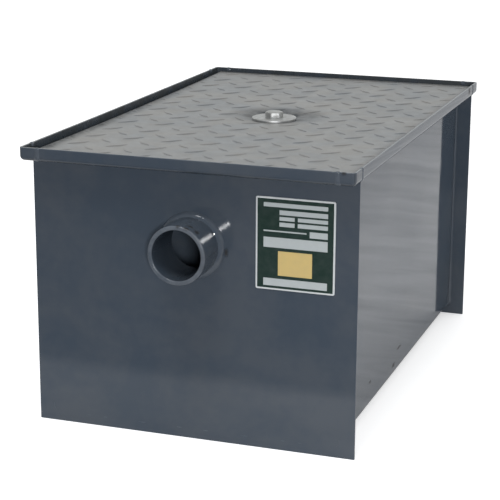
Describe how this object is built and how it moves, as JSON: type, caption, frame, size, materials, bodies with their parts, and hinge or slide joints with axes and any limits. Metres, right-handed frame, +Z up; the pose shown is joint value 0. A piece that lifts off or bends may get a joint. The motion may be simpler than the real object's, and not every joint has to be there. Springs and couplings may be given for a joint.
{
  "type": "grease trap",
  "caption": "Welded steel grease trap: sheet tank with a folded rim, tread plate lid held by a centre bolt, pipe stubs at both ends and removable baffles inside.",
  "frame": {"origin": "on the floor under the middle of the tank, midway between the ends of the pipe stubs", "axes": "+Z up, +Y along the flow from the inlet end to the outlet end, +X to the right when facing the inlet end"},
  "size_m": [0.3496, 0.603, 0.298],
  "materials": {
    "tank_paint": "semi-gloss slate grey paint",
    "lid_paint": "semi-gloss slate grey paint on tread plate",
    "bright_steel": "bright zinc",
    "gasket_rubber": "matt black",
    "plate_face": "printed metal plate, dark green with pale fields"
  },
  "bodies": {
    "tank": {"tank_body": "tank_paint", "inlet_end_plate": "tank_paint", "outlet_end_plate": "tank_paint", "rim_corner_inlet_left": "tank_paint", "rim_corner_inlet_right": "tank_paint", "rim_corner_outlet_left": "tank_paint", "rim_corner_outlet_right": "tank_paint", "inlet_stub": "tank_paint", "outlet_stub": "tank_paint", "lid_gasket": "gasket_rubber", "crossbar": "tank_paint", "crossbar_nut": "bright_steel", "crossbar_bracket_left": "tank_paint", "crossbar_bracket_right": "tank_paint", "inlet_baffle": "tank_paint", "outlet_baffle": "tank_paint", "inlet_guide_left": "tank_paint", "inlet_guide_right": "tank_paint", "outlet_guide_left": "tank_paint", "outlet_guide_right": "tank_paint", "outlet_skirt": "tank_paint", "data_plate": "plate_face"},
    "lid": {"lid": "lid_paint", "lid_washer": "bright_steel"},
    "bolt": {"lid_bolt": "bright_steel"}
  },
  "joints": [
    {"name": "lid_lift", "type": "slide", "parent": "tank", "child": "lid", "axis": [0, 0, 1], "range_m": [0, 0.25]},
    {"name": "bolt_turn", "type": "hinge", "parent": "lid", "child": "bolt", "pos_m": [0, 0, 0.29], "axis": [0, 0, 1], "continuous": true}
  ]
}
